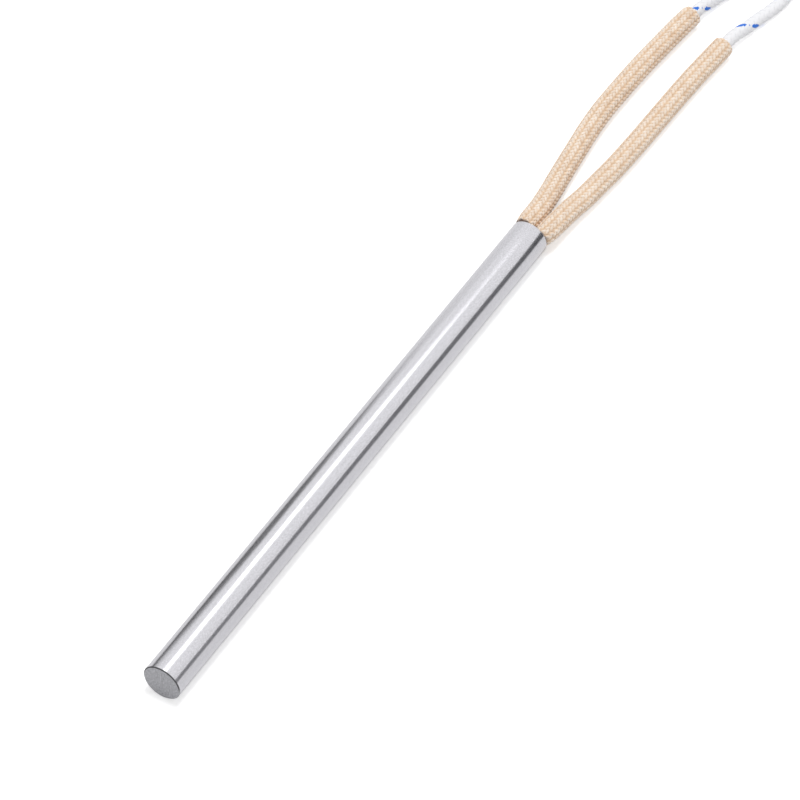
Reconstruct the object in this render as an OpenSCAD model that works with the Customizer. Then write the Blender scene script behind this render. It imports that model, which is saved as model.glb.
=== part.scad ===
// Cartridge heater with two sleeved leads, lying on a bench.
// The sheath's axis runs along X, with the closed tip at -X and the lead mouth at +X.
// The origin is under the middle of the sheath, on the surface that it lies on.

/* [Sheath] */
// Outside diameter of the steel sheath
sheath_d = 6; // [5.8:0.1:7]
// Length of the sheath from tip to mouth
sheath_l = 100; // [70:1:160]
// Wall of the sheath
sheath_wall = 0.5; // [0.4:0.05:0.55]
// Chamfer round the ground tip
tip_chamfer = 0.15; // [0.05:0.05:0.3]
// Rounding of the mouth's inner edge
lip_r = 0.25; // [0.1:0.05:0.3]

/* [Tip] */
// Thickness of the welded end disc
disc_t = 2; // [1:0.1:4]
// Thickness of the insulating washer
washer_t = 1.5; // [0.5:0.1:3]

/* [Element] */
// Diameter of the winding core
core_d = 3.6; // [3.5:0.05:3.8]
// Diameter of the nickel pins
pin_d = 0.75; // [0.5:0.05:0.8]
// Diameter of the winding wire
wire_d = 0.3; // [0.2:0.05:0.35]
// Whole turns of the winding
wire_turns = 30; // [10:1:36]
// Depth of the wire notch in each end of the core
notch_depth = 1; // [0.6:0.1:1.4]
// Width of the wire notch
notch_w = 1.4; // [1.2:0.1:1.6]
// Length of the short pin inside the core
short_pin_in = 8; // [3:0.5:20]

/* [Lead end] */
// Length of the cold ceramic bush
bush_l = 6; // [3:0.5:10]
// Length of a splice barrel
splice_l = 5.5; // [4:0.5:8]
// Diameter of a splice barrel
splice_d = 1.7; // [1.5:0.1:2]
// Thickness of the lead seal
seal_t = 2; // [1:0.1:4]
// Length of the sleeves inside the mouth
sleeve_in = 7; // [3:0.5:10]

/* [Sleeves] */
// Outside diameter of a sleeve that lies free
sleeve_d = 3.6; // [3.2:0.1:3.6]
// Wall of a sleeve
sleeve_wall = 0.45; // [0.35:0.05:0.5]
// Length of the first sleeve outside the mouth
sleeve_1_l = 55.5; // [40:0.5:58]
// Length of the second sleeve outside the mouth
sleeve_2_l = 52; // [40:0.5:55]
// Height of the braid's crossings
braid_h = 0.14; // [0.05:0.01:0.2]

/* [Leads] */
// Outside diameter of a lead
lead_d = 2.1; // [1.8:0.1:2.3]
// Diameter of a lead where the mouth squeezes it
lead_neck_d = 1.3; // [1.2:0.05:1.4]
// Diameter of the stranded conductor
conductor_d = 0.9; // [0.6:0.05:1]
// Stripped length at each lead's end
bare_l = 8; // [4:0.5:12]
// Length of the first lead after the hank
tail_1_l = 13; // [11:0.5:16]
// Length of the second lead after the hank
tail_2_l = 13; // [11:0.5:16]
// Mean radius of the hank's folds
fold_r = 7.4; // [7:0.1:8.4]
// Length of the hank's straight runs
hank_run = 12; // [10:1:20]
// Width of a hank tie
tie_w = 3; // [2:0.5:5]
// Thickness of a hank tie
tie_t = 0.3; // [0.2:0.05:0.5]

/* [Hidden] */

$fn = 64;

// Clearance of pieces that are pressed or packed into place
seat_gap = 0.02;
// Clearance of pieces that slide into place
slide_gap = 0.05;
// Overshoot of a cut past the face that it opens
cut_past = 0.1;

axis_h = sheath_d / 2;
bore_r = sheath_d / 2 - sheath_wall;
tip_x = -sheath_l / 2;
mouth_x = sheath_l / 2;

// Stations along the sheath, from the tip to the mouth
washer_x = tip_x + disc_t;
core_x = washer_x + washer_t;
sleeve_x = mouth_x - sleeve_in;
seal_x = sleeve_x - seal_t;
splice_x = seal_x - splice_l;
bush_x = splice_x - bush_l;
core_l = bush_x - core_x;

// Two sleeves share the bore, each as an oval beside the middle plane
oval_y = 0.488 * bore_r;
oval_half_w = 0.472 * bore_r;
oval_half_h = 0.78 * bore_r;

// Winding
wire_r = wire_d / 2;
wire_sides = 5;
wire_steps = 12;
// Mean radius at the corners of the winding, whose flats clear the core
wind_r = (core_d / 2 + seat_gap + wire_r) / cos(180 / wire_steps);
// The winding starts in the notch at one end of the core and ends in the other
wind_x = notch_depth / 2;
wind_l = core_l - notch_depth;
// Radius and angle of the wire as it comes off its pin and onto the core
wire_foot = oval_y + pin_d / 2 + seat_gap;
wire_turn_in = 16;
wire_start = [
    for (k = [0 : 3]) [wind_r - (wind_r - wire_foot) * pow(1 - k / 3, 2), wire_turn_in * pow(k / 3, 2)]
];

// Sleeves and leads, in plan: distance from the mouth, distance from the middle plane, level.
// Level 0 is the sheath's axis, 1 a sleeve on the bench, 2 a bare lead there, 3 the hank's first layer.
sleeve_r = sleeve_d / 2;
lead_r = lead_d / 2;
hank_z = tie_t + lead_r;
levels = [[0, axis_h], [1, sleeve_r], [2, lead_r], [3, hank_z]];
pair_gap = 0.05;
pair_pitch = lead_d + pair_gap;
// Centre of the hank's near fold
hank_at = [mouth_x + 90, 1.5];
// Length by which a run goes on past the near fold
run_on = 8;
run_lead_in = 3;
function run_point(side, back) =
    [hank_at.x - run_on - back - mouth_x, hank_at.y - fold_r - side * pair_pitch / 2, 3];

inside_1 = [for (u = [splice_x - mouth_x, 0]) [u, oval_y, 0]];
inside_2 = [for (p = inside_1) [p.x, -p.y, p.z]];
route_1 = concat(inside_1, [
    [1, 1.58, 0.02], [2.5, 1.76, 0.1], [5, 1.98, 0.35], [8.5, 2.35, 0.7], [14, 3.05, 1], [20, 3.75, 1],
    [26, 4.4, 1], [31, 4.65, 1], [36, 4.6, 1], [42, 4.4, 1], [48, 4, 1], [53, 3.6, 1], [57, 3.1, 1],
    [61, 2.3, 1.7], [65, 1, 2], [69, -1, 2], [73, -3.2, 2.3]
], [run_point(-1, run_lead_in), run_point(-1, 0)]);
route_2 = concat(inside_2, [
    [1, -1.56, 0.02], [2.5, -1.72, 0.1], [5, -1.82, 0.35], [8.5, -2, 0.7], [12, -2.38, 0.9],
    [16, -2.7, 1], [20, -3.05, 1], [25, -3.28, 1], [31, -3.42, 1], [37, -3.52, 1], [43, -3.7, 1],
    [49, -4.08, 1], [54, -4.4, 1], [59, -5.3, 1.7], [66.5, -6.8, 2]
], [run_point(1, run_lead_in), run_point(1, 0)]);

// Smooth curve through a route's points, with no overshoot between them
function rise(pts, i, k) = (pts[i + 1][k] - pts[i][k]) / (pts[i + 1].x - pts[i].x);
function even(a, b) = a * b <= 0 ? 0 : 2 * a * b / (a + b);
function slope(pts, i, k) =
    i == 0 ? rise(pts, 0, k) :
    i == len(pts) - 1 ? rise(pts, i - 1, k) :
    even(rise(pts, i - 1, k), rise(pts, i, k));
function span(pts, u, i = 0) = i >= len(pts) - 2 || u < pts[i + 1].x ? i : span(pts, u, i + 1);
function between(pts, u, k) =
    let (i = span(pts, u), h = pts[i + 1].x - pts[i].x, t = (u - pts[i].x) / h)
    pts[i][k] * (1 + 2 * t) * pow(1 - t, 2) + pts[i + 1][k] * t * t * (3 - 2 * t)
    + h * t * (1 - t) * (slope(pts, i, k) * (1 - t) - slope(pts, i + 1, k) * t);
function on_route(pts, u) = [mouth_x + u, between(pts, u, 1), lookup(between(pts, u, 2), levels)];

function unit(v) = v / norm(v);
look = 0.01;
function heading(pts, u) = unit(on_route(pts, u + look) - on_route(pts, u - look));

// A ring of points across the heading, an oval with its width level
function oval_ring(p, dir, half_w, half_h, sides) =
    let (side = unit(cross([0, 0, 1], dir)), up = cross(dir, side), turn = 360 / sides)
    [for (k = [0 : sides - 1]) p + half_w * cos(k * turn) * side + half_h * sin(k * turn) * up];
// A round ring of points across the heading
function round_ring(p, dir, r, sides) = oval_ring(p, dir, r, r, sides);

// Faces of a tube whose rings have the same number of points
function wall_faces(first, rings, sides) = [
    for (i = [0 : rings - 2], k = [0 : sides - 1])
        let (a = first + i * sides + k, b = first + i * sides + (k + 1) % sides)
        each [[a, a + sides, b + sides], [a, b + sides, b]]
];
function turned(faces) = [for (f = faces) [f[0], f[2], f[1]]];
function joined(lists) = [for (l = lists) each l];

// A solid rod through a list of rings
module rod(rings) {
    sides = len(rings[0]);
    last = (len(rings) - 1) * sides;
    polyhedron(
        points = joined(rings),
        faces = concat(
            wall_faces(0, len(rings), sides),
            [[for (k = [0 : sides - 1]) k], [for (k = [sides - 1 : -1 : 0]) last + k]]
        ),
        convexity = 6
    );
}

// A hollow tube: the outer rings have twice as many points as the inner ones
module hollow(outer, inner) {
    so = len(outer[0]);
    si = len(inner[0]);
    base = len(outer) * so;
    outer_end = (len(outer) - 1) * so;
    inner_end = base + (len(inner) - 1) * si;
    polyhedron(
        points = concat(joined(outer), joined(inner)),
        faces = concat(
            wall_faces(0, len(outer), so),
            turned(wall_faces(base, len(inner), si)),
            end_faces(0, so, base, si),
            turned(end_faces(outer_end, so, inner_end, si))
        ),
        convexity = 6
    );
}
function end_faces(o, so, i, si) = [
    for (k = [0 : si - 1])
        let (a = o + 2 * k, m = o + 2 * k + 1, b = o + (2 * k + 2) % so, c = i + k, d = i + (k + 1) % si)
        each [[a, m, c], [m, d, c], [m, b, d]]
];

// Share of a sleeve's own round form that it has regained past the mouth
open_by = 5;
function opening(u) = let (t = min(1, max(0, u / open_by))) 1 - pow(1 - t, 3);
function sleeve_half_w(u) = oval_half_w + (sleeve_r - oval_half_w) * opening(u);
function sleeve_half_h(u) = oval_half_h + (sleeve_r - oval_half_h) * opening(u);

// Distance past the mouth at which a lead has its full diameter again
neck_to = 6;
neck_step = 1.5;
braid_sides = 24;
braid_step = 0.9;
bore_step = 3;
// Stations along a route in evenly stepped stretches that share their ends
function split_stations(ends, steps) = concat([ends[0]], [
    for (j = [0 : len(steps) - 1])
        let (n = ceil((ends[j + 1] - ends[j]) / steps[j]))
        for (i = [1 : n]) ends[j] + (ends[j + 1] - ends[j]) * i / n
]);

// Braided sleeve: a tube with raised yarn crossings, squeezed to an oval in the mouth
module sleeve(route, length) {
    outside = split_stations([-sleeve_in, 0, length], [braid_step, braid_step]);
    inside = split_stations([-sleeve_in, 0, neck_to, length], [bore_step, neck_step, bore_step]);
    hollow(
        [for (i = [0 : len(outside) - 1])
            let (u = outside[i], p = on_route(route, u), dir = heading(route, u))
            [for (k = [0 : braid_sides - 1])
                let (low = (i + k) % 2 * braid_h * opening(u))
                oval_ring(p, dir, sleeve_half_w(u) - low, sleeve_half_h(u) - low, braid_sides)[k]]],
        [for (u = inside)
            oval_ring(on_route(route, u), heading(route, u), sleeve_half_w(u) - sleeve_wall,
                sleeve_half_h(u) - sleeve_wall, braid_sides / 2)]
    );
}

lead_sides = 8;
lead_step = 4;
strip_in = splice_l / 2 - seat_gap;
function lead_half(u) = lookup(u, [[0, lead_neck_d / 2], [neck_to, lead_d / 2]]);

// Lead from its splice to the hank, with the stripped conductor at its inner end
module lead(route) {
    from = seal_x - mouth_x;
    to = route[len(route) - 1].x;
    bare_r = conductor_d / 2 - seat_gap;
    bare = [for (u = [from - strip_in, from])
        round_ring(on_route(route, u), [1, 0, 0], bare_r, lead_sides)];
    covered = [for (u = split_stations([from, 0, neck_to, to], [lead_step, neck_step, lead_step]))
        round_ring(on_route(route, u), heading(route, u), lead_half(u), lead_sides)];
    rod(concat(bare, covered));
}

// Tail that comes down from the hank's last layer to the bench, where the outer one bears away
hank_layers = 3;
top_z = hank_z + (hank_layers - 1) * lead_d;
tail_rings = 6;
tail_spread = 1.8;
// The drop ends before the tail does, so that the last stretch lies flat
tail_drop_share = 0.85;
function tail_z(t) =
    let (s = min(1, t / tail_drop_share)) top_z + (lead_r - top_z) * s * s * (3 - 2 * s);
function tail_point(side, length, t) = [
    hank_at.x - run_on - t * length,
    hank_at.y + fold_r + side * pair_pitch / 2 + max(0, side) * tail_spread * t * t,
    tail_z(t)
];
function tail_heading(side, length, t) = unit([-length, 2 * max(0, side) * tail_spread * t, 0]);
module tail(side, length) {
    rod([for (i = [0 : tail_rings])
        let (t = i / tail_rings)
        round_ring(tail_point(side, length, t), tail_heading(side, length, t), lead_r, lead_sides)]);
}
module bare_end(side, length) {
    dir = tail_heading(side, length, 1);
    translate(tail_point(side, length, 1))
        rotate([0, 0, atan2(dir.y, dir.x)]) rotate([0, 90, 0]) cylinder(d = conductor_d, h = bare_l);
}

// A round piece along the sheath, from station x
module along(x, y = 0) {
    translate([x, y, axis_h]) rotate([0, 90, 0]) children();
}
module pin_holes(x, length, d) {
    for (y = [-oval_y, oval_y]) along(x - cut_past, y) cylinder(d = d, h = length + 2 * cut_past);
}

module sheath() {
    r = sheath_d / 2;
    color("silver") along(tip_x) rotate_extrude()
        difference() {
            polygon([
                [bore_r, 0], [r - tip_chamfer, 0], [r, tip_chamfer], [r, sheath_l - lip_r / 2],
                [r - lip_r / 2, sheath_l], [bore_r, sheath_l]
            ]);
            // Rounded inner edge of the mouth
            difference() {
                translate([bore_r - cut_past, sheath_l - lip_r]) square(lip_r + cut_past);
                translate([bore_r + lip_r, sheath_l - lip_r]) circle(r = lip_r);
            }
        }
}

module end_disc() {
    color("gray") along(tip_x) cylinder(r = bore_r - seat_gap, h = disc_t);
}

module tip_washer() {
    color("tan") along(washer_x) cylinder(r = bore_r - slide_gap, h = washer_t);
}

module winding_core() {
    color("white") difference() {
        along(core_x) cylinder(d = core_d, h = core_l);
        pin_holes(core_x, core_l, pin_d + 2 * seat_gap);
        wire_notch(core_x, 1);
        wire_notch(core_x + core_l, -1);
    }
}
module wire_notch(x, side) {
    translate([x, side * core_d / 2, axis_h])
        cube([2 * notch_depth, core_d - 2 * oval_y, notch_w], center = true);
}

module heating_coil() {
    steps = wire_steps * wire_turns;
    turn = 360 / wire_steps;
    half_turn = 180;
    travel = 360 * wire_turns + half_turn;
    on_core = [for (i = [1 : steps + wire_steps / 2 - 1])
        [wind_x + wind_l * i * turn / travel, wind_r, i * turn]];
    path = concat(
        [for (w = wire_start) [wind_x, w[0], w[1]]],
        on_core,
        [for (k = [3 : -1 : 0]) [wind_x + wind_l, wire_start[k][0], travel - wire_start[k][1]]]
    );
    line = [for (p = path) [p.x, p.y * cos(p.z), p.y * sin(p.z)]];
    color("darkgray") translate([core_x, 0, axis_h]) rod(wire_rings(line));
}
function wire_rings(pts) = [
    for (i = [0 : len(pts) - 1])
        let (
            dir = unit(pts[min(i + 1, len(pts) - 1)] - pts[max(i - 1, 0)]),
            out = unit(cross(dir, [1, 0, 0])),
            side = cross(dir, out)
        )
        [for (k = [0 : wire_sides - 1])
            pts[i] + wire_r * (cos(360 * k / wire_sides) * side + sin(360 * k / wire_sides) * out)]
];

module pin(x, y) {
    end = splice_x + splice_l / 2;
    along(x, y) cylinder(d = pin_d, h = end - x);
}
module long_pin() {
    color("lightgray") pin(core_x + seat_gap, oval_y);
}
module short_pin() {
    color("lightgray") pin(bush_x - short_pin_in, -oval_y);
}

module magnesia_fill() {
    color("whitesmoke") along(core_x) difference() {
        cylinder(r = bore_r - seat_gap, h = core_l);
        translate([0, 0, -cut_past]) cylinder(r = wind_r + wire_r + seat_gap, h = core_l + 2 * cut_past);
    }
}

module cold_bush() {
    color("ivory") difference() {
        along(bush_x) cylinder(r = bore_r - slide_gap, h = bush_l);
        pin_holes(bush_x, bush_l, pin_d + 2 * slide_gap);
    }
}

module splice(y) {
    half = splice_l / 2;
    color("lightsteelblue") difference() {
        along(splice_x, y) cylinder(d = splice_d, h = splice_l);
        along(splice_x - cut_past, y) cylinder(d = pin_d + 2 * seat_gap, h = half + cut_past);
        along(splice_x + half, y) cylinder(d = conductor_d + 2 * seat_gap, h = half + cut_past);
    }
}
module splice_1() {
    splice(oval_y);
}
module splice_2() {
    splice(-oval_y);
}

module lead_seal() {
    color("lightgray") difference() {
        along(seal_x) cylinder(r = bore_r - seat_gap, h = seal_t);
        pin_holes(seal_x, seal_t, lead_neck_d + 2 * seat_gap);
    }
}

module sleeve_1() {
    color("burlywood") sleeve(route_1, sleeve_1_l);
}
module sleeve_2() {
    color("burlywood") sleeve(route_2, sleeve_2_l);
}
module lead_1() {
    color("white") lead(route_1);
}
module lead_2() {
    color("white") lead(route_2);
}

// Outer form of the hank: a loop whose last layer is open on the near fold, and the runs by which the
// leads come in along the first layer and go out along the last
third_from = 200;
run_seat = 0.5;
hank_w = pair_pitch + lead_d;
hank_h = hank_layers * lead_d;
module lead_hank() {
    color("white") translate([hank_at.x, hank_at.y, tie_t]) {
        difference() {
            linear_extrude(hank_h) difference() {
                hank_loop(fold_r + hank_w / 2);
                hank_loop(fold_r - hank_w / 2);
            }
            rotate([0, 0, 90]) rotate_extrude(angle = third_from - 90)
                translate([fold_r - hank_w / 2 - cut_past, hank_h - lead_d])
                    square([hank_w + 2 * cut_past, lead_d + cut_past]);
        }
        rotate([0, 0, 270]) run_block(-run_on, 0);
        rotate([0, 0, 90]) run_block(-run_seat, hank_h - lead_d);
    }
}
module hank_loop(r) {
    circle(r);
    translate([hank_run, 0]) circle(r);
    translate([0, -r]) square([hank_run, 2 * r]);
}
module run_block(from, z) {
    run_w = hank_w - 2 * seat_gap;
    translate([fold_r - run_w / 2, from, z]) cube([run_w, run_on + run_seat, lead_d - seat_gap]);
}

module lead_1_tail() {
    color("white") tail(-1, tail_1_l);
}
module lead_2_tail() {
    color("white") tail(1, tail_2_l);
}
module lead_1_end() {
    color("gainsboro") bare_end(-1, tail_1_l);
}
module lead_2_end() {
    color("gainsboro") bare_end(1, tail_2_l);
}

// A tie is a band round all layers of each run
module hank_ties() {
    color("dimgray") for (side = [-1, 1])
        translate([hank_at.x + hank_run / 2, hank_at.y + side * fold_r, tie_t + hank_h / 2])
            difference() {
                cube([tie_w, hank_w + 2 * tie_t, hank_h + 2 * tie_t], center = true);
                cube([tie_w + 2 * cut_past, hank_w, hank_h], center = true);
            }
}

sheath();
end_disc();
tip_washer();
winding_core();
heating_coil();
long_pin();
short_pin();
magnesia_fill();
cold_bush();
splice_1();
splice_2();
lead_seal();
sleeve_1();
sleeve_2();
lead_1();
lead_2();
lead_hank();
lead_1_tail();
lead_2_tail();
lead_1_end();
lead_2_end();
hank_ties();
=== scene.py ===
import math

import bpy
import numpy as np
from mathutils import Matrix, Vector


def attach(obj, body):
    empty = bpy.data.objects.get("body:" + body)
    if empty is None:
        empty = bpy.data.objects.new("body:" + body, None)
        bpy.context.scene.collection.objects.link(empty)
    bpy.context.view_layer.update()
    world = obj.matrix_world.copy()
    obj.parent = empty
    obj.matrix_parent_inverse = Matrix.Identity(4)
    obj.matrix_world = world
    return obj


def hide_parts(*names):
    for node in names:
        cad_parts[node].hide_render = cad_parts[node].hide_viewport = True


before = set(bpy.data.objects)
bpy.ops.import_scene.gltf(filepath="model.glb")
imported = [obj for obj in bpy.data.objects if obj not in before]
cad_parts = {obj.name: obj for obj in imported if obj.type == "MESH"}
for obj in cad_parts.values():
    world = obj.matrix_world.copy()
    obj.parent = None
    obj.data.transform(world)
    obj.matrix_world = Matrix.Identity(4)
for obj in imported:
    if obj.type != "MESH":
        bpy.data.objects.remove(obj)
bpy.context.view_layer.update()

# Sheath.
# A drawn stainless tube, polished along its length, with the mouth's edges broken.
# Its tip is ground flat together with the end plug, and its chamfer carries a painted dark reflection
# on the upper side.
MM = 0.001
SHEATH_R = 3.0
SHEATH_LONG = 100.0
BORE_R = 2.5
AXIS_HIGH = 3.0
TIP_X = -SHEATH_LONG / 2
MOUTH_X = SHEATH_LONG / 2
TIP_CHAMFER = 0.15
LIP_R = 0.25
RIM_R = 0.125
SHEATH_SIDES = 192
SHEATH_ROWS = 21
SHARP_FROM = math.radians(40)
STEEL_TONES = [(0.3, (0.557, 0.552, 0.582)), (0.7, (0.667, 0.661, 0.697))]
STEEL_ROUGHNESS = (0.13, 0.23)
GROUND_TONES = [(0.3, (0.28, 0.28, 0.297)), (0.7, (0.61, 0.61, 0.64))]
# Painted dark reflection on the chamfer: its tones from below to above, and the heights in mm over
# which it darkens.
CHAMFER_DARK_TONES = [(0.0, (0.42, 0.42, 0.435)), (1.0, (0.085, 0.085, 0.09))]
CHAMFER_DARK_FADES_AT = (2.6, 3.7)


def piece_from(name, points, faces, finishes, face_finish=None):
    """A smooth piece from points in mm, carried by the part's one body."""
    mesh = bpy.data.meshes.new(name)
    mesh.from_pydata((np.asarray(points, float) * MM).tolist(), [], faces)
    for finish in finishes:
        mesh.materials.append(finish)
    if face_finish is not None:
        mesh.polygons.foreach_set("material_index", face_finish)
    mesh.polygons.foreach_set("use_smooth", [True] * len(mesh.polygons))
    mesh.set_sharp_from_angle(angle=SHARP_FROM)
    mesh.update()
    piece = bpy.data.objects.new(name, mesh)
    bpy.context.collection.objects.link(piece)
    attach(piece, "root")
    return piece


def turned_on_axis(profile, sides):
    """Points and faces of a closed (x, radius) profile turned about the sheath's axis."""
    profile = np.asarray(profile, float)
    angle = 2 * np.pi * np.arange(sides) / sides
    rows = len(profile)
    points = np.empty((sides, rows, 3))
    points[:, :, 0] = profile[:, 0]
    points[:, :, 1] = np.cos(angle)[:, None] * profile[:, 1]
    points[:, :, 2] = np.sin(angle)[:, None] * profile[:, 1] + AXIS_HIGH
    faces = []
    for k in range(sides):
        here, after = k * rows, (k + 1) % sides * rows
        for i in range(rows):
            j = (i + 1) % rows
            faces.append((here + i, after + i, after + j, here + j))
    return points.reshape(-1, 3), faces


def finish_named(name, roughness, metallic=0.0):
    """A new node material and its main shader."""
    finish = bpy.data.materials.new(name)
    finish.use_nodes = True
    shader = finish.node_tree.nodes["Principled BSDF"]
    shader.inputs["Roughness"].default_value = roughness
    shader.inputs["Metallic"].default_value = metallic
    return finish, shader


def add_node(finish, kind, **values):
    """A node with some of its inputs set."""
    node = finish.node_tree.nodes.new(kind)
    for name, value in values.items():
        node.inputs[name].default_value = value
    return node


def wire_up(finish, *pairs):
    """Links made from outputs to inputs."""
    for out_socket, in_socket in pairs:
        finish.node_tree.links.new(out_socket, in_socket)


def grain(finish, scale, detail=3.0, stretch=(1.0, 1.0, 1.0)):
    """Grey noise laid out in the part's own metres, stretched along each axis."""
    place = add_node(finish, "ShaderNodeTexCoord")
    spread = add_node(finish, "ShaderNodeMapping", Scale=stretch)
    noise = add_node(finish, "ShaderNodeTexNoise", Scale=scale, Detail=detail)
    wire_up(finish, (place.outputs["Object"], spread.inputs["Vector"]),
            (spread.outputs["Vector"], noise.inputs["Vector"]))
    return noise.outputs["Fac"]


def toned(finish, value, stops, socket=None):
    """Colours picked by a grey value."""
    ramp = add_node(finish, "ShaderNodeValToRGB")
    elements = ramp.color_ramp.elements
    while len(elements) < len(stops):
        elements.new(0.5)
    for element, (at, colour) in zip(elements, stops):
        element.position = at
        element.color = (*colour, 1.0)
    wire_up(finish, (value, ramp.inputs["Fac"]))
    if socket is not None:
        wire_up(finish, (ramp.outputs["Color"], socket))
    return ramp.outputs["Color"]


def relief(finish, shader, value, strength, deep):
    """Fine relief from a grey value, deep in mm."""
    bump = add_node(finish, "ShaderNodeBump", Strength=strength, Distance=deep * MM)
    wire_up(finish, (value, bump.inputs["Height"]),
            (bump.outputs["Normal"], shader.inputs["Normal"]))


def ranged(finish, value, low, high, socket):
    """A grey value spread between two limits."""
    spread = add_node(finish, "ShaderNodeMapRange")
    spread.inputs["To Min"].default_value = low
    spread.inputs["To Max"].default_value = high
    wire_up(finish, (value, spread.inputs["Value"]), (spread.outputs["Result"], socket))


polished_steel, shader = finish_named("polished_steel", roughness=STEEL_ROUGHNESS[0], metallic=1.0)
drawn_lines = grain(polished_steel, scale=1.0, detail=3.0, stretch=(60.0, 2600.0, 2600.0))
speckle = grain(polished_steel, scale=5200.0, detail=2.0)
toned(polished_steel, speckle, STEEL_TONES, shader.inputs["Base Color"])
ranged(polished_steel, drawn_lines, *STEEL_ROUGHNESS, shader.inputs["Roughness"])
relief(polished_steel, shader, drawn_lines, strength=0.08, deep=0.02)

ground_steel, shader = finish_named("ground_steel", roughness=0.62, metallic=0.75)
grit = grain(ground_steel, scale=4200.0, detail=4.0)
toned(ground_steel, grit, GROUND_TONES, shader.inputs["Base Color"])
relief(ground_steel, shader, grit, strength=0.5, deep=0.05)

# The chamfer has a painted dark reflection on its upper side, fading to plain ground steel below.
chamfer_painted_dark, shader = finish_named("chamfer_painted_dark", roughness=0.5, metallic=0.6)
place = add_node(chamfer_painted_dark, "ShaderNodeTexCoord")
parts = add_node(chamfer_painted_dark, "ShaderNodeSeparateXYZ")
upper = add_node(chamfer_painted_dark, "ShaderNodeMapRange")
upper.inputs["From Min"].default_value = CHAMFER_DARK_FADES_AT[0] * MM
upper.inputs["From Max"].default_value = CHAMFER_DARK_FADES_AT[1] * MM
wire_up(chamfer_painted_dark, (place.outputs["Object"], parts.inputs["Vector"]),
        (parts.outputs["Z"], upper.inputs["Value"]))
toned(chamfer_painted_dark, upper.outputs["Result"], CHAMFER_DARK_TONES, shader.inputs["Base Color"])
chamfer_grit = grain(chamfer_painted_dark, scale=3000.0, detail=3.0)
relief(chamfer_painted_dark, shader, chamfer_grit, strength=0.5, deep=0.05)

quarter = [math.radians(a) for a in range(0, 91, 15)]
mouth_rim = [(MOUTH_X - RIM_R + RIM_R * math.sin(a), SHEATH_R - RIM_R + RIM_R * math.cos(a))
             for a in quarter]
mouth_lip = [(MOUTH_X - LIP_R + LIP_R * math.cos(a), BORE_R + LIP_R - LIP_R * math.sin(a))
             for a in quarter]
sheath_profile = ([(TIP_X, BORE_R), (TIP_X, SHEATH_R - TIP_CHAMFER), (TIP_X + TIP_CHAMFER, SHEATH_R)]
                  + [(x, SHEATH_R) for x in np.linspace(TIP_X, MOUTH_X, SHEATH_ROWS)[1:-1]]
                  + mouth_rim + mouth_lip)
points, faces = turned_on_axis(sheath_profile, SHEATH_SIDES)
# The profile's first face is the ground end, and its second the chamfer with its painted dark
# reflection.
ground_then_chamfer = {0: 1, 1: 2}
finish_of_face = [ground_then_chamfer.get(i % len(sheath_profile), 0) for i in range(len(faces))]
sheath = piece_from("sheath_tube", points, faces, [polished_steel, ground_steel, chamfer_painted_dark],
                    finish_of_face)
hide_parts("sheath")

# End plug.
# A steel disc welded into the tip and ground flush with the tube's end.
PLUG_THICK = 2.0
PLUG_HUB = 0.02
plug_profile = [(TIP_X, PLUG_HUB), (TIP_X, BORE_R / 2), (TIP_X, BORE_R),
                (TIP_X + PLUG_THICK, BORE_R), (TIP_X + PLUG_THICK, PLUG_HUB)]
points, faces = turned_on_axis(plug_profile, SHEATH_SIDES)
end_plug = piece_from("end_plug", points, faces, [ground_steel])
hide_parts("end_disc")

# Tip washer.
# Punched from mica sheet, and laid between the plug and the winding to keep it off the steel.
MICA_TONES = [(0.3, (0.34, 0.22, 0.10)), (0.55, (0.52, 0.38, 0.20)), (0.75, (0.70, 0.58, 0.38))]


def dressed(finish, *nodes):
    """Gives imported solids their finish."""
    for node in nodes:
        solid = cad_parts[node].data
        solid.materials.clear()
        solid.materials.append(finish)


mica, shader = finish_named("mica", roughness=0.35)
flakes = grain(mica, scale=900.0, detail=5.0, stretch=(6.0, 1.0, 1.0))
toned(mica, flakes, MICA_TONES, shader.inputs["Base Color"])
relief(mica, shader, flakes, strength=0.3, deep=0.03)
dressed(mica, "tip_washer")

# Winding core and packing.
# A pressed magnesia rod with two holes for the pins, in magnesia powder rammed hard round the wire.
MAGNESIA_TONES = [(0.3, (0.66, 0.65, 0.61)), (0.7, (0.86, 0.85, 0.82))]

magnesia, shader = finish_named("magnesia", roughness=0.9)
powder = grain(magnesia, scale=3200.0, detail=6.0)
toned(magnesia, powder, MAGNESIA_TONES, shader.inputs["Base Color"])
relief(magnesia, shader, powder, strength=0.5, deep=0.06)
dressed(magnesia, "winding_core", "magnesia_fill")

# Heating coil.
# Nickel-chrome wire wound round the core, with the dull skin that a first heating leaves.
WIRE_TONES = [(0.3, (0.20, 0.19, 0.18)), (0.7, (0.38, 0.36, 0.34))]

resistance_wire, shader = finish_named("resistance_wire", roughness=0.45, metallic=1.0)
skin = grain(resistance_wire, scale=2400.0, detail=4.0)
toned(resistance_wire, skin, WIRE_TONES, shader.inputs["Base Color"])
relief(resistance_wire, shader, skin, strength=0.2, deep=0.02)
dressed(resistance_wire, "heating_coil")

# Pins and splices.
# Nickel pins carry the current out of the core, and nickel barrels are crimped on pins and leads.
NICKEL_TONES = [(0.3, (0.50, 0.48, 0.44)), (0.7, (0.66, 0.63, 0.57))]

nickel, shader = finish_named("nickel", roughness=0.3, metallic=1.0)
draw_marks = grain(nickel, scale=1.0, detail=3.0, stretch=(90.0, 2400.0, 2400.0))
toned(nickel, draw_marks, NICKEL_TONES, shader.inputs["Base Color"])
relief(nickel, shader, draw_marks, strength=0.2, deep=0.02)
dressed(nickel, "long_pin", "short_pin", "splice_1", "splice_2")

# Cold bush and lead seal.
# A fired steatite bush ends the hot length, and cement poured behind the sleeves closes the mouth.
STEATITE_TONES = [(0.3, (0.62, 0.58, 0.48)), (0.65, (0.80, 0.77, 0.68))]

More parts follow.
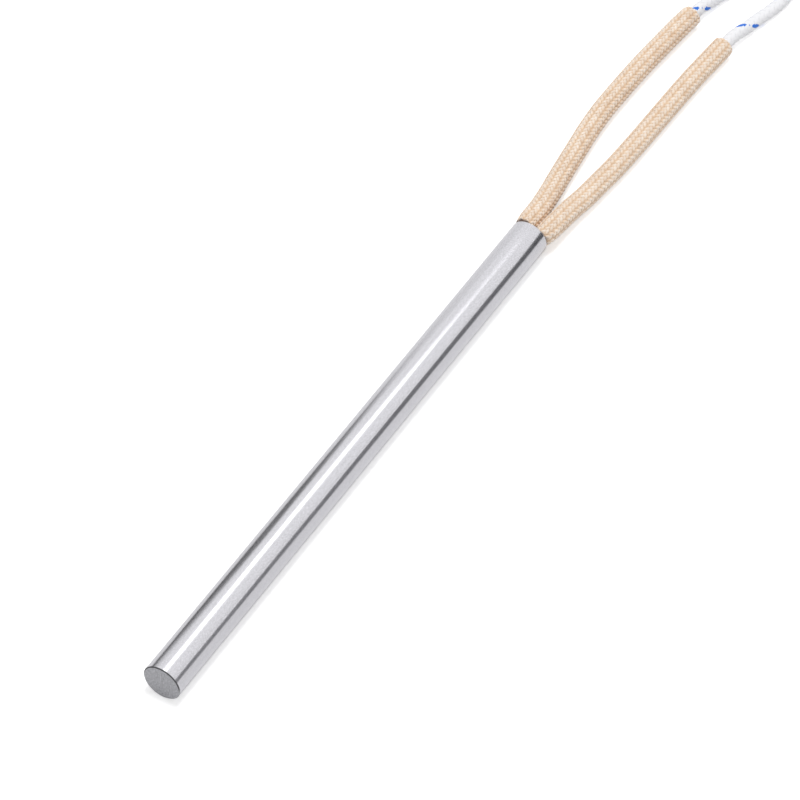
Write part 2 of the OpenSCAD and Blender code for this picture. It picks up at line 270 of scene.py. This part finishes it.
steatite, shader = finish_named("steatite", roughness=0.7)
specks = grain(steatite, scale=2600.0, detail=5.0)
toned(steatite, specks, STEATITE_TONES, shader.inputs["Base Color"])
relief(steatite, shader, specks, strength=0.3, deep=0.04)
dressed(steatite, "cold_bush", "lead_seal")

# Sleeves.
# Two tubes of glass yarn, braided over two and under two, buff with varnish, pushed into the mouth.
# It squeezes them to ovals side by side, and they open to round past it. Just past the rim their yarns
# carry painted shade in dark brown.
SLEEVE_R = 1.8
SLEEVE_WALL = 0.45
SLEEVE_IN = 7.0
BRAID_IN = 2.0
SLEEVE_1_LONG = 55.5
SLEEVE_2_LONG = 52.0
OVAL_Y = 1.22
OVAL_HALF_W = 1.18
OVAL_HALF_H = 1.95
OPEN_BY = 5.0
CUT_DRAWS_IN = 0.04
# Painted shade past the rim: how far it reaches on sleeves 1 and 2, and over what length it fades.
RIM_SHADE_TO_1 = 1.4
RIM_SHADE_TO_2 = 0.5
RIM_SHADE_FADE = 0.2
LEAD_R = 1.05
PAIR_PITCH = 2.15
HANK_X = MOUTH_X + 90.0
HANK_Y = 1.5
HANK_HIGH = 1.35
FOLD_R = 7.4
RUN_ON = 8.0

# Corners of a yarn's section: across it, up from its middle, and how well lit.
SLEEVE_YARN = ((0.275, 0.0, 0.55), (0.17, 0.075, 0.9), (0.0, 0.105, 1.0),
               (-0.17, 0.075, 0.9), (-0.275, 0.0, 0.55), (0.0, -0.105, 0.0))
SLEEVE_YARNS = 18
SLEEVE_LAY = 15.3
SLEEVE_WAVE = 0.1
SLEEVE_STEP = SLEEVE_LAY / SLEEVE_YARNS / 5
SLEEVE_1_TURNED = math.radians(6)
SLEEVE_2_TURNED = math.radians(20)
SLEEVE_RIB = 0.1
RIB_AT = math.radians(-135)
RIB_SHADE = 0.5
LINER_DEEP = 0.25
LINER_ROWS = 64
LINER_SIDES = 32
TONE_SEED = 7
# Scale of the filaments' streaks: along a yarn, across it, and from yarn to yarn.
FILAMENTS = (0.6, 14.0, 5.3)

# Buff yarn from painted shade in its gaps to painted light on its crowns.
BUFF_SHADE_TONES = [(0.0, (0.56, 0.34, 0.17)), (0.4, (0.88, 0.67, 0.48)), (0.7, (0.97, 0.84, 0.72)),
              (0.95, (1.0, 0.93, 0.88))]
YARN_TONES = [(0.0, (0.93, 0.90, 0.87)), (1.0, (1.0, 1.0, 1.0))]
VARNISH_TONES = [(0.35, (0.90, 0.85, 0.80)), (0.6, (1.0, 1.0, 1.0))]
# Dark brown of the painted shade just past the rim.
RIM_SHADE_BROWN = (0.085, 0.042, 0.026, 1.0)

# Heights of a centreline: in the mouth, of a sleeve on the bench, of a lead on it, and in the hank.
LEVELS = (0, 1, 2, 3)
LEVEL_HIGH = (AXIS_HIGH, SLEEVE_R, LEAD_R, HANK_HIGH)


def run_point(side, back):
    """A station on the straight run into the hank."""
    return [HANK_X - RUN_ON - back - MOUTH_X, HANK_Y - FOLD_R - side * PAIR_PITCH / 2, LEVELS[-1]]


# Stations past the mouth: distance from it, distance from the middle plane, level.
STATIONS_1 = [[-14.5, OVAL_Y, 0], [0, OVAL_Y, 0], [1, 1.58, 0.02], [2.5, 1.74, 0.1], [5, 1.86, 0.35],
              [8.5, 2.24, 0.7], [14, 3.05, 1], [20, 3.75, 1], [26, 4.4, 1], [31, 4.65, 1], [36, 4.6, 1],
              [42, 4.4, 1], [48, 4, 1], [53, 3.6, 1], [57, 3.1, 1], [61, 2.3, 1.7], [65, 1, 2],
              [69, -1, 2], [73, -3.2, 2.3], run_point(-1, 3), run_point(-1, 0)]
STATIONS_2 = [[-14.5, -OVAL_Y, 0], [0, -OVAL_Y, 0], [1, -1.56, 0.02], [2.5, -1.72, 0.1],
              [5, -1.8, 0.35], [8.5, -1.96, 0.7], [12, -2.36, 0.9], [16, -2.7, 1], [20, -3.05, 1],
              [25, -3.28, 1], [31, -3.42, 1], [37, -3.52, 1], [43, -3.7, 1], [49, -4.08, 1],
              [54, -4.4, 1], [59, -5.3, 1.7], [66.5, -6.8, 2], run_point(1, 3), run_point(1, 0)]
ROUTE_STEP = 0.1


def smooth_route(stations, first):
    """Points from a distance past the mouth to the route's end, with no overshoot between stations."""
    stations = np.array(stations, float)
    u, values = stations[:, 0], stations[:, 1:]
    rise = np.diff(values, axis=0) / np.diff(u)[:, None]
    before, after = rise[:-1], rise[1:]
    same_way = before * after > 0
    both = np.where(same_way, before + after, 1)
    slope = np.vstack([rise[:1], np.where(same_way, 2 * before * after / both, 0), rise[-1:]])
    fine = np.linspace(first, u[-1], int((u[-1] - first) / ROUTE_STEP) + 1)
    i = np.clip(np.searchsorted(u, fine, side="right") - 1, 0, len(u) - 2)
    wide = (u[i + 1] - u[i])[:, None]
    t = (fine - u[i])[:, None] / wide
    at = (values[i] * (1 + 2 * t) * (1 - t) ** 2 + values[i + 1] * t * t * (3 - 2 * t)
          + wide * t * (1 - t) * (slope[i] * (1 - t) - slope[i + 1] * t))
    return np.column_stack([MOUTH_X + fine, at[:, 0], np.interp(at[:, 1], LEVELS, LEVEL_HIGH)])


def laid(line):
    """A centreline with its length so far, its level side and its upper side at each point."""
    ahead = np.gradient(line, axis=0)
    ahead /= np.linalg.norm(ahead, axis=1)[:, None]
    side = np.cross([0.0, 0.0, 1.0], ahead)
    side /= np.linalg.norm(side, axis=1)[:, None]
    upper = np.cross(ahead, side)
    far = np.concatenate([[0.0], np.cumsum(np.linalg.norm(np.diff(line, axis=0), axis=1))])
    return far, np.hstack([line, side, upper])


def round_it(run, far, angle, half_w, half_h):
    """Points round a run, at lengths and angles, on an oval across it."""
    lengths, columns = run
    at = np.stack([np.interp(far, lengths, columns[:, k]) for k in range(columns.shape[1])], axis=-1)
    return (at[..., 0:3] + (half_w * np.cos(angle))[..., None] * at[..., 3:6]
            + (half_h * np.sin(angle))[..., None] * at[..., 6:9])


def braided(run, start, stop, sizes, section, yarns, lay, wave, step,
            shift=0.0, turned=0.0, tracer=None, rib=0.0):
    """Yarns wound both ways round a run, each a closed ribbon that passes over two and under two.

    Gives points, faces, and two sets of values for each point. The first is its painted shade, from how
    high it rises, how well lit its corner is and the rib's grooves, then its yarn's tone and the
    tracer's mark. The second is its length along the yarn, its place across and the yarn's number.
    """
    count = int((stop - start) / step) + 1
    far = np.linspace(start, stop, count)[None, :, None]
    way = np.repeat([1.0, -1.0], yarns)[:, None, None]
    yarn = np.tile(np.arange(yarns), 2)[:, None, None]
    mid_w, mid_h = sizes(np.array([(start + stop) / 2]))
    mean_r = float(mid_w[0] + mid_h[0]) / 2
    lean = math.atan2(2 * math.pi * mean_r, lay)
    across, up, lit = np.array(section).T
    beat = 2 * yarn + way * (far - shift) * 2 * yarns / lay
    height = way * np.cos(np.pi / 2 * (beat - 0.5))
    turn = (2 * np.pi * (yarn / yarns + way * (far - shift) / lay) + turned
            + across * math.cos(lean) / mean_r)
    shifted = np.clip(far - way * across * math.sin(lean), start, stop)
    half_w, half_h = sizes(shifted)
    crest = 0.5 + 0.5 * np.cos(yarns / 2 * (turn - turned) + RIB_AT)
    lift = wave * (height - 1) + up - up.max() - rib * (1 - crest)
    points = round_it(run, shifted, turn, half_w + lift, half_h + lift)
    shape = points.shape[:3]
    tone = np.random.default_rng(TONE_SEED).random(2 * yarns)[:, None, None]
    marked = np.zeros(2 * yarns)
    if tracer is not None:
        marked[tracer] = 1.0
    # Painted light and shade: lighter where a yarn rises and where its corner is lit, darker in the
    # rib's grooves.
    painted_brightness = (0.5 + 0.5 * height) * lit * (1 - RIB_SHADE * (rib > 0) * (1 - crest))
    yarn_shading = np.stack([np.broadcast_to(v, shape) for v in (painted_brightness, tone, marked[:, None, None], 1.0)],
                      axis=-1)
    place = np.stack([np.broadcast_to(v, shape) for v in (
        far / math.cos(lean), across, yarn + yarns * (way > 0))], axis=-1)
    sides = len(section)
    corner = np.arange(sides)
    after = (corner + 1) % sides
    ends = np.arange(2 * yarns)[:, None] * count * sides
    first = ends[:, :, None] + np.arange(count - 1)[None, :, None] * sides
    walls = np.stack([first + corner, first + sides + corner, first + sides + after, first + after],
                     axis=-1)
    caps = np.concatenate([ends + corner, ends + (count - 1) * sides + corner[::-1]])
    return (points.reshape(-1, 3), walls.reshape(-1, 4).tolist() + caps.tolist(),
            yarn_shading.reshape(-1, 4), place.reshape(-1, 3))


def tube_round(run, stations, outer, inner, sides):
    """A tube with a wall and cut ends along a run, or a solid rod where no inner sizes are given."""
    angle = 2 * np.pi * np.arange(sides)[None, :] / sides
    far = np.asarray(stations, float)[:, None]
    skins = [round_it(run, far + 0 * angle, angle + 0 * far, *sizes(far))
             for sizes in (outer, inner) if sizes]
    rows, k = len(stations), np.arange(sides)
    after = (k + 1) % sides
    row = np.arange(rows - 1)[:, None] * sides
    wall = np.stack([row + k, row + after, row + sides + after, row + sides + k], axis=-1)
    wall = wall.reshape(-1, 4)
    last = (rows - 1) * sides
    inside = rows * sides
    if inner is None:
        hubs = np.array([skins[0][0].mean(0), skins[0][-1].mean(0)])
        fans = [np.stack([0 * k + inside, after, k], axis=-1),
                np.stack([0 * k + inside + 1, last + k, last + after], axis=-1)]
        return (np.vstack([skins[0].reshape(-1, 3), hubs]),
                wall.tolist() + np.concatenate(fans).tolist())
    rims = [np.stack([inside + k, inside + after, after, k], axis=-1),
            np.stack([last + k, last + after, inside + last + after, inside + last + k], axis=-1)]
    return (np.vstack([s.reshape(-1, 3) for s in skins]),
            wall.tolist() + (wall[:, ::-1] + inside).tolist() + np.concatenate(rims).tolist())


def yarn_piece(name, braid, under, under_shading, finish):
    """One piece from a braid and the plain tube or rod under it."""
    points, faces, yarn_shading, place = braid
    under_points, under_faces = under
    used = len(points)
    piece = piece_from(name, np.vstack([points, under_points]),
                       faces + [[c + used for c in f] for f in under_faces], [finish])
    yarn_shading = np.vstack([yarn_shading, np.tile([under_shading, 0.5, 0.0, 1.0], (len(under_points), 1))])
    place = np.vstack([place, np.zeros((len(under_points), 3))])
    kept = piece.data.attributes
    for values, called, kind, field in ((yarn_shading, "yarn", "FLOAT_COLOR", "color"),
                                        (place, "lay", "FLOAT_VECTOR", "vector")):
        kept.new(called, kind, "POINT").data.foreach_set(field, values.astype(np.float32).ravel())
    return piece


def yarn_values(finish):
    """A point's painted shade, its yarn's tone, its mark, and streaks of filaments along its yarn."""
    read = add_node(finish, "ShaderNodeAttribute")
    read.attribute_name = "yarn"
    parts = add_node(finish, "ShaderNodeSeparateColor")
    place = add_node(finish, "ShaderNodeAttribute")
    place.attribute_name = "lay"
    spread = add_node(finish, "ShaderNodeMapping", Scale=FILAMENTS)
    streaks = add_node(finish, "ShaderNodeTexNoise", Scale=1.0, Detail=2.0)
    wire_up(finish, (read.outputs["Color"], parts.inputs["Color"]),
            (place.outputs["Vector"], spread.inputs["Vector"]),
            (spread.outputs["Vector"], streaks.inputs["Vector"]))
    return parts.outputs["Red"], parts.outputs["Green"], parts.outputs["Blue"], streaks.outputs["Fac"]


# Places of a mix node's colour sockets.
MIX_SHARE, MIX_FIRST, MIX_SECOND, MIX_RESULT = 0, 6, 7, 2


def mixed(finish, how, share, first, second):
    """Two colours mixed in one of the shader's ways."""
    mix = finish.node_tree.nodes.new("ShaderNodeMix")
    mix.data_type = "RGBA"
    mix.blend_type = how
    if isinstance(share, float):
        mix.inputs[MIX_SHARE].default_value = share
    else:
        wire_up(finish, (share, mix.inputs[MIX_SHARE]))
    wire_up(finish, (first, mix.inputs[MIX_FIRST]))
    if isinstance(second, tuple):
        mix.inputs[MIX_SECOND].default_value = second
    else:
        wire_up(finish, (second, mix.inputs[MIX_SECOND]))
    return mix.outputs[MIX_RESULT]


def sleeve_sizes(run, end, inset=0.0):
    """The sleeve's half width and half height along its run, drawn in a little at the cut end."""
    lengths, columns = run

    def sizes(far):
        past = np.interp(far, lengths, columns[:, 0]) - MOUTH_X
        opened = 1 - (1 - np.clip(past / OPEN_BY, 0, 1)) ** 3
        drawn_in = CUT_DRAWS_IN * np.clip(1 - (end - far), 0, 1) ** 2
        return (OVAL_HALF_W + (SLEEVE_R - OVAL_HALF_W) * opened - drawn_in - inset,
                OVAL_HALF_H + (SLEEVE_R - OVAL_HALF_H) * opened - drawn_in - inset)
    return sizes


glass_sleeving, shader = finish_named("glass_sleeving", roughness=0.7)
shader.inputs["Sheen Weight"].default_value = 0.5
yarn_shading, tone, rim_shade, streaks = yarn_values(glass_sleeving)
# Painted light and shade in buff.
buff = toned(glass_sleeving, yarn_shading, BUFF_SHADE_TONES)
yarn_tone = toned(glass_sleeving, tone, YARN_TONES)
varnish_tone = toned(glass_sleeving, grain(glass_sleeving, scale=1100.0, detail=2.0), VARNISH_TONES)
toned_buff = mixed(glass_sleeving, "MULTIPLY", 1.0, buff, yarn_tone)
varnished = mixed(glass_sleeving, "MULTIPLY", 1.0, toned_buff, varnish_tone)
# Painted shade: dark brown on the yarns just past the rim.
rim_shaded = mixed(glass_sleeving, "MIX", rim_shade, varnished, RIM_SHADE_BROWN)
wire_up(glass_sleeving, (rim_shaded, shader.inputs["Base Color"]))
relief(glass_sleeving, shader, streaks, strength=0.3, deep=0.04)

for name, node, stations, long, rim_shade_to, turned in (
        ("sleeve_braid_1", "sleeve_1", STATIONS_1, SLEEVE_1_LONG, RIM_SHADE_TO_1, SLEEVE_1_TURNED),
        ("sleeve_braid_2", "sleeve_2", STATIONS_2, SLEEVE_2_LONG, RIM_SHADE_TO_2, SLEEVE_2_TURNED)):
    line = smooth_route(stations, -SLEEVE_IN)
    run = laid(line[line[:, 0] <= MOUTH_X + long + ROUTE_STEP])
    end = float(np.interp(MOUTH_X + long, run[1][:, 0], run[0]))
    braid_from = float(np.interp(MOUTH_X - BRAID_IN, run[1][:, 0], run[0]))
    braid = braided(run, braid_from, end, sleeve_sizes(run, end), SLEEVE_YARN, SLEEVE_YARNS,
                    SLEEVE_LAY, SLEEVE_WAVE, SLEEVE_STEP, turned=turned, rib=SLEEVE_RIB)
    # Painted shade past the rim: the yarns' third value, full up to the sleeve's limit and fading out
    # beyond it.
    braid[2][:, 2] = np.clip((rim_shade_to - (braid[0][:, 0] - MOUTH_X)) / RIM_SHADE_FADE, 0, 1)
    # The liner takes the darkest painted shade, which shows in the gaps between the yarns.
    liner = tube_round(run, np.linspace(0, end, LINER_ROWS), sleeve_sizes(run, end, LINER_DEEP),
                       sleeve_sizes(run, end, SLEEVE_WALL), LINER_SIDES)
    sleeve = yarn_piece(name, braid, liner, under_shading=0.0, finish=glass_sleeving)
    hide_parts(node)

# Leads.
# Stranded tinned copper in white braided glass yarn, with one blue yarn in each braid.
# Past the sleeves they lie on the bench, and the spare length is folded into a tied hank.
# Corners of a lead yarn's section: across it, up from its middle, and painted light.
LEAD_YARN = ((0.33, 0.0, 0.45), (0.0, 0.06, 1.0), (-0.33, 0.0, 0.45), (0.0, -0.06, 0.0))
LEAD_YARNS = 8
LEAD_LAY = 9.4
LEAD_WAVE = 0.03
LEAD_STEP = 0.25
LEAD_CORE_DEEP = 0.08
LEAD_CORE_SIDES = 16
BLUE_YARN = 0
# White yarn from painted shade where it dips to painted light where it rises.
WHITE_SHADE_TONES = [(0.0, (0.78, 0.78, 0.81)), (0.5, (0.91, 0.91, 0.935))]
TRACER_BLUE = (0.012, 0.17, 0.72, 1.0)
# How far along and round each braid is set, which puts the blue yarn where it shows.
BRAID_1_AT = (1.65, math.radians(168))
BRAID_2_AT = (2.28, math.radians(156))
NECK_R = 0.65
NECK_TO = 6.0
SEAL_X = -9.0
TAIL_LONG = 13.0
TAIL_SPREAD = 1.8
TAIL_DROP = 0.85
HANK_RUN = 12.0
LAYERS = 3
CLIMB_FROM = math.radians(135)
CLIMB_TURN = math.radians(80)
TOP_HIGH = HANK_HIGH + (LAYERS - 1) * 2 * LEAD_R


def eased(t):
    """A smooth rise from 0 to 1."""
    t = np.clip(t, 0, 1)
    return t * t * (3 - 2 * t)


def lead_line(stations, side):
    """The whole lead, from behind the mouth through its hank to where it is stripped."""
    line = [smooth_route(stations, SEAL_X)[:-1]]
    fold = FOLD_R + side * PAIR_PITCH / 2
    far_x = HANK_X + HANK_RUN

    def straight(x_from, x_to, y, high):
        x = np.linspace(x_from, x_to, int(abs(x_to - x_from) / ROUTE_STEP), endpoint=False)
        line.append(np.column_stack([x, 0 * x + y, 0 * x + high]))

    def folded(x, first, high):
        turn = np.linspace(first, first + np.pi, int(np.pi * fold / ROUTE_STEP), endpoint=False)
        line.append(np.column_stack([x + fold * np.cos(turn), HANK_Y + fold * np.sin(turn),
                                     high(turn)]))

    for layer in range(LAYERS):
        high = HANK_HIGH + layer * 2 * LEAD_R
        last = layer == LAYERS - 1
        straight(HANK_X if layer else HANK_X - RUN_ON, far_x, HANK_Y - fold, high)
        folded(far_x, -np.pi / 2, lambda turn: high + 0 * turn)
        straight(far_x, HANK_X - RUN_ON if last else HANK_X, HANK_Y + fold, high)
        if not last:
            folded(HANK_X, np.pi / 2,
                   lambda turn: high + 2 * LEAD_R * eased((turn - CLIMB_FROM) / CLIMB_TURN))
    t = np.linspace(0, 1, int(TAIL_LONG / ROUTE_STEP))
    line.append(np.column_stack([HANK_X - RUN_ON - t * TAIL_LONG,
                                 HANK_Y + fold + max(0, side) * TAIL_SPREAD * t * t,
                                 TOP_HIGH + (LEAD_R - TOP_HIGH) * eased(t / TAIL_DROP)]))
    return np.vstack(line)


def lead_sizes(far):
    """The lead's half width and half height, narrower where the sleeve is squeezed."""
    half = NECK_R + (LEAD_R - NECK_R) * np.clip((far + SEAL_X) / NECK_TO, 0, 1)
    return half, half


def core_sizes(far):
    """The same for the core under its braid."""
    half = lead_sizes(far)[0] - LEAD_CORE_DEEP
    return half, half


lead_braid, shader = finish_named("lead_braid", roughness=0.55)
yarn_shading, _, mark, streaks = yarn_values(lead_braid)
# Painted light and shade on the white yarn.
white = toned(lead_braid, yarn_shading, WHITE_SHADE_TONES)
blue_or_white = mixed(lead_braid, "MIX", mark, white, TRACER_BLUE)
wire_up(lead_braid, (blue_or_white, shader.inputs["Base Color"]))
relief(lead_braid, shader, streaks, strength=0.2, deep=0.02)

lead_runs = []
for name, nodes, stations, side, (shift, turned) in (
        ("lead_white_1", ("lead_1", "lead_1_tail", "lead_hank"), STATIONS_1, -1, BRAID_1_AT),
        ("lead_white_2", ("lead_2", "lead_2_tail", "lead_hank"), STATIONS_2, 1, BRAID_2_AT)):
    run = laid(lead_line(stations, side))
    end = run[0][-1]
    braid = braided(run, 0.0, end, lead_sizes, LEAD_YARN, LEAD_YARNS, LEAD_LAY, LEAD_WAVE, LEAD_STEP,
                    shift, turned, BLUE_YARN)
    core = tube_round(run, np.linspace(0, end, int(end)), core_sizes, None, LEAD_CORE_SIDES)
    # The core under the braid takes a mid painted shade.
    lead = yarn_piece(name, braid, core, under_shading=0.3, finish=lead_braid)
    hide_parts(*nodes)
    lead_runs.append(run)

# Bare ends.
# The last 8 mm of each lead, stripped to its tinned strands and twisted by hand.
BARE_LONG = 8.0
STRAND_R = 0.15
STRANDS = 6
STRAND_LAY = 6.0
BARE_ROWS = 81
STRAND_ROWS = 41
STRAND_SIDES = 8
TIN_TONES = [(0.35, (0.52, 0.51, 0.50)), (0.7, (0.72, 0.71, 0.69))]

tinned_copper, shader = finish_named("tinned_copper", roughness=0.3, metallic=1.0)
tin = grain(tinned_copper, scale=2200.0, detail=4.0)
toned(tinned_copper, tin, TIN_TONES, shader.inputs["Base Color"])
relief(tinned_copper, shader, tin, strength=0.15, deep=0.02)

for name, node, run in (("bare_strands_1", "lead_1_end", lead_runs[0]),
                        ("bare_strands_2", "lead_2_end", lead_runs[1])):
    tip = run[1][-1, 0:3]
    ahead = tip - run[1][-2, 0:3]
    ahead[2] = 0
    ahead /= np.linalg.norm(ahead)
    steps = np.linspace(0, BARE_LONG, BARE_ROWS)
    middle = laid(tip + steps[:, None] * ahead)
    points, faces = [], []
    used = 0
    for strand in range(STRANDS + 1):
        offset = 0.0 if strand == STRANDS else 2 * STRAND_R
        turn = 2 * np.pi * (strand / STRANDS + steps / STRAND_LAY)
        centre = round_it(middle, steps, turn, offset + 0 * steps, offset + 0 * steps)
        strand_run = laid(centre)
        strand_points, strand_faces = tube_round(
            strand_run, np.linspace(0, strand_run[0][-1], STRAND_ROWS),
            lambda far: (STRAND_R + 0 * far, STRAND_R + 0 * far), None, STRAND_SIDES)
        points.append(strand_points)
        faces += [[c + used for c in f] for f in strand_faces]
        used += len(strand_points)
    bare = piece_from(name, np.vstack(points), faces, [tinned_copper])
    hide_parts(node)

# Hank ties.
# Two strips of dark woven tape, each wrapped round one run of the hank and stuck to itself.
TIE_WIDE = 3.0
TIE_THICK = 0.3
TIE_CORNER = 0.7
CORNER_POINTS = 7
TAPE_TONES = [(0.3, (0.035, 0.035, 0.038)), (0.7, (0.07, 0.07, 0.075))]

tie_tape, shader = finish_named("tie_tape", roughness=0.75)
rib = grain(tie_tape, scale=1500.0, detail=2.0)
toned(tie_tape, rib, TAPE_TONES, shader.inputs["Base Color"])
relief(tie_tape, shader, rib, strength=0.4, deep=0.05)

half_w = (PAIR_PITCH + 2 * LEAD_R) / 2 + TIE_THICK
half_h = LAYERS * LEAD_R + TIE_THICK
band = []
for corner, (to_side, up) in enumerate(((1, 1), (-1, 1), (-1, -1), (1, -1))):
    for a in np.linspace(corner * np.pi / 2, (corner + 1) * np.pi / 2, CORNER_POINTS):
        band.append((to_side * (half_w - TIE_CORNER) + TIE_CORNER * math.cos(a),
                     up * (half_h - TIE_CORNER) + TIE_CORNER * math.sin(a)))
band = np.array(band)
inner_band = band * [(half_w - TIE_THICK) / half_w, (half_h - TIE_THICK) / half_h]
points, faces = [], []
for to_side in (-1, 1):
    middle = np.array([HANK_X + HANK_RUN / 2, HANK_Y + to_side * FOLD_R, half_h])
    used = len(points) * len(band)
    rings = ((band, -1), (band, 1), (inner_band, 1), (inner_band, -1))
    for loop, along in rings:
        points.append(middle + np.column_stack([0 * loop[:, 0] + along * TIE_WIDE / 2, loop]))
    for ring in range(len(rings)):
        for k in range(len(band)):
            a, b = used + ring * len(band), used + (ring + 1) % len(rings) * len(band)
            after = (k + 1) % len(band)
            faces.append([a + k, a + after, b + after, b + k])
hank_tie = piece_from("hank_tie_tape", np.vstack(points), faces, [tie_tape])
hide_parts("hank_ties")

# Bench.
# A plain white top, wide and seamless, on which the part lies.
BENCH_HALF = 4.0
BENCH_WHITE = (0.9, 0.9, 0.9, 1)
BENCH_GLOW = 0.5
BENCH_IN_METAL = 0.1


def seen_rays(finish, off_metal):
    """1 for rays from the camera, and a share of it for those off metal or through glass."""
    rays = add_node(finish, "ShaderNodeLightPath")
    seen = rays.outputs["Is Camera Ray"]
    for kind in ("Is Glossy Ray", "Is Transmission Ray"):
        either = add_node(finish, "ShaderNodeMath")
        either.operation = "MULTIPLY_ADD"
        either.inputs[1].default_value = off_metal
        wire_up(finish, (rays.outputs[kind], either.inputs[0]), (seen, either.inputs[2]))
        seen = either.outputs[0]
    return seen


bench_white = bpy.data.materials.new("bench_white")
bench_white.use_nodes = True
bench_white.node_tree.nodes.clear()
matt = add_node(bench_white, "ShaderNodeBsdfDiffuse", Color=BENCH_WHITE)
glow = add_node(bench_white, "ShaderNodeEmission", Color=(1, 1, 1, 1))
both = add_node(bench_white, "ShaderNodeAddShader")
surface = add_node(bench_white, "ShaderNodeOutputMaterial")
ranged(bench_white, seen_rays(bench_white, BENCH_IN_METAL), 0.0, BENCH_GLOW, glow.inputs["Strength"])
wire_up(bench_white, (matt.outputs[0], both.inputs[0]), (glow.outputs[0], both.inputs[1]),
        (both.outputs[0], surface.inputs["Surface"]))

bench_mesh = bpy.data.meshes.new("bench")
bench_corners = [(x * BENCH_HALF, y * BENCH_HALF, 0) for x, y in ((-1, -1), (1, -1), (1, 1), (-1, 1))]
bench_mesh.from_pydata(bench_corners, [], [(0, 1, 2, 3)])
bench_mesh.materials.append(bench_white)
bench = bpy.data.objects.new("bench", bench_mesh)
bpy.context.collection.objects.link(bench)

# Light and camera.
# White all round, a soft light from above, and a long lamp that only draws the steel's bright line.
# Cards that only show in the steel draw its dark lines, and the pale one beside the longer of them.
SKY_LIGHT = 0.45
SKY_SEEN = 1.0
LONG_LAMP_TURNED = math.radians(8)
CARD_TONES = [(0.2, (0.34, 0.34, 0.35)), (0.6, (0.12, 0.12, 0.125))]

world = bpy.data.worlds.new("studio")
bpy.context.scene.world = world
world.use_nodes = True
world.node_tree.nodes.clear()
sky = add_node(world, "ShaderNodeBackground", Color=(1, 1, 1, 1))
around = add_node(world, "ShaderNodeOutputWorld")
ranged(world, seen_rays(world, SKY_SEEN), SKY_LIGHT, SKY_SEEN, sky.inputs["Strength"])
wire_up(world, (sky.outputs[0], around.inputs["Surface"]))


def lamp_over(name, at, size, energy):
    """A rectangular lamp."""
    light = bpy.data.lights.new(name, "AREA")
    light.shape = "RECTANGLE"
    light.size, light.size_y = size
    light.energy = energy
    lamp = bpy.data.objects.new(name, light)
    bpy.context.collection.objects.link(lamp)
    lamp.location = at
    return lamp


long_lamp = lamp_over("long_lamp", at=(0.208, 0.024, 0.49), size=(0.316, 0.17), energy=0.237)
long_lamp.rotation_euler = (0, 0, LONG_LAMP_TURNED)
long_lamp.visible_diffuse = False
top_light = lamp_over("top_light", at=(0.15, 0.0, 0.85), size=(0.3, 0.3), energy=4.3)
top_light.visible_glossy = False


def card_at(name, corners, finish):
    """A card that only shows in reflections."""
    mesh = bpy.data.meshes.new(name)
    mesh.from_pydata(corners, [], [(0, 1, 2, 3)])
    mesh.materials.append(finish)
    card = bpy.data.objects.new(name, mesh)
    bpy.context.collection.objects.link(card)
    card.visible_camera = False
    card.visible_diffuse = False
    card.visible_transmission = False
    card.visible_shadow = False


card_grey, shader = finish_named("card_grey", roughness=0.9)
place = add_node(card_grey, "ShaderNodeTexCoord")
parts = add_node(card_grey, "ShaderNodeSeparateXYZ")
wire_up(card_grey, (place.outputs["Generated"], parts.inputs["Vector"]))
toned(card_grey, parts.outputs["X"], CARD_TONES, shader.inputs["Base Color"])
card_at("dark_card", [(0.0, -0.33, 0.0), (0.6, -0.33, 0.0), (0.6, -0.33, 0.27), (0.0, -0.33, 0.08)],
        card_grey)


def glowing(name, strength):
    """A finish that only gives light."""
    finish = bpy.data.materials.new(name)
    finish.use_nodes = True
    finish.node_tree.nodes.clear()
    glow = add_node(finish, "ShaderNodeEmission", Color=(1, 1, 1, 1), Strength=strength)
    surface = add_node(finish, "ShaderNodeOutputMaterial")
    wire_up(finish, (glow.outputs[0], surface.inputs["Surface"]))
    return finish


card_at("pale_strip", [(0.0, -0.331, 0.08), (0.6, -0.331, 0.27),
                       (0.6, -0.331, 0.295), (0.0, -0.331, 0.105)],
        glowing("strip_white", strength=1.6))
card_at("ceiling", [(-0.5, -0.75, 0.6), (1.2, -0.75, 0.6), (1.2, 0.75, 0.6), (-0.5, 0.75, 0.6)],
        glowing("ceiling_white", strength=1.12))
card_at("left_card", [(0.105, 0.33, 0.04), (0.17, 0.33, 0.0), (0.24, 0.33, 0.05), (0.275, 0.33, 0.36)],
        glowing("left_card_grey", strength=0.17))

CAMERA_AT = (-0.4037, -0.2554, 0.5456)
CAMERA_TO = (0.0143, 0.0008, 0.0)
lens = bpy.data.cameras.new("lens")
lens.sensor_width = 36.0
lens.lens = 226.5
lens.clip_start = 0.01
camera = bpy.data.objects.new("camera", lens)
bpy.context.collection.objects.link(camera)
camera.location = CAMERA_AT
aim = Vector(CAMERA_TO) - Vector(CAMERA_AT)
camera.rotation_euler = aim.to_track_quat("-Z", "Y").to_euler()
bpy.context.scene.camera = camera
bpy.context.scene.view_settings.view_transform = "Standard"
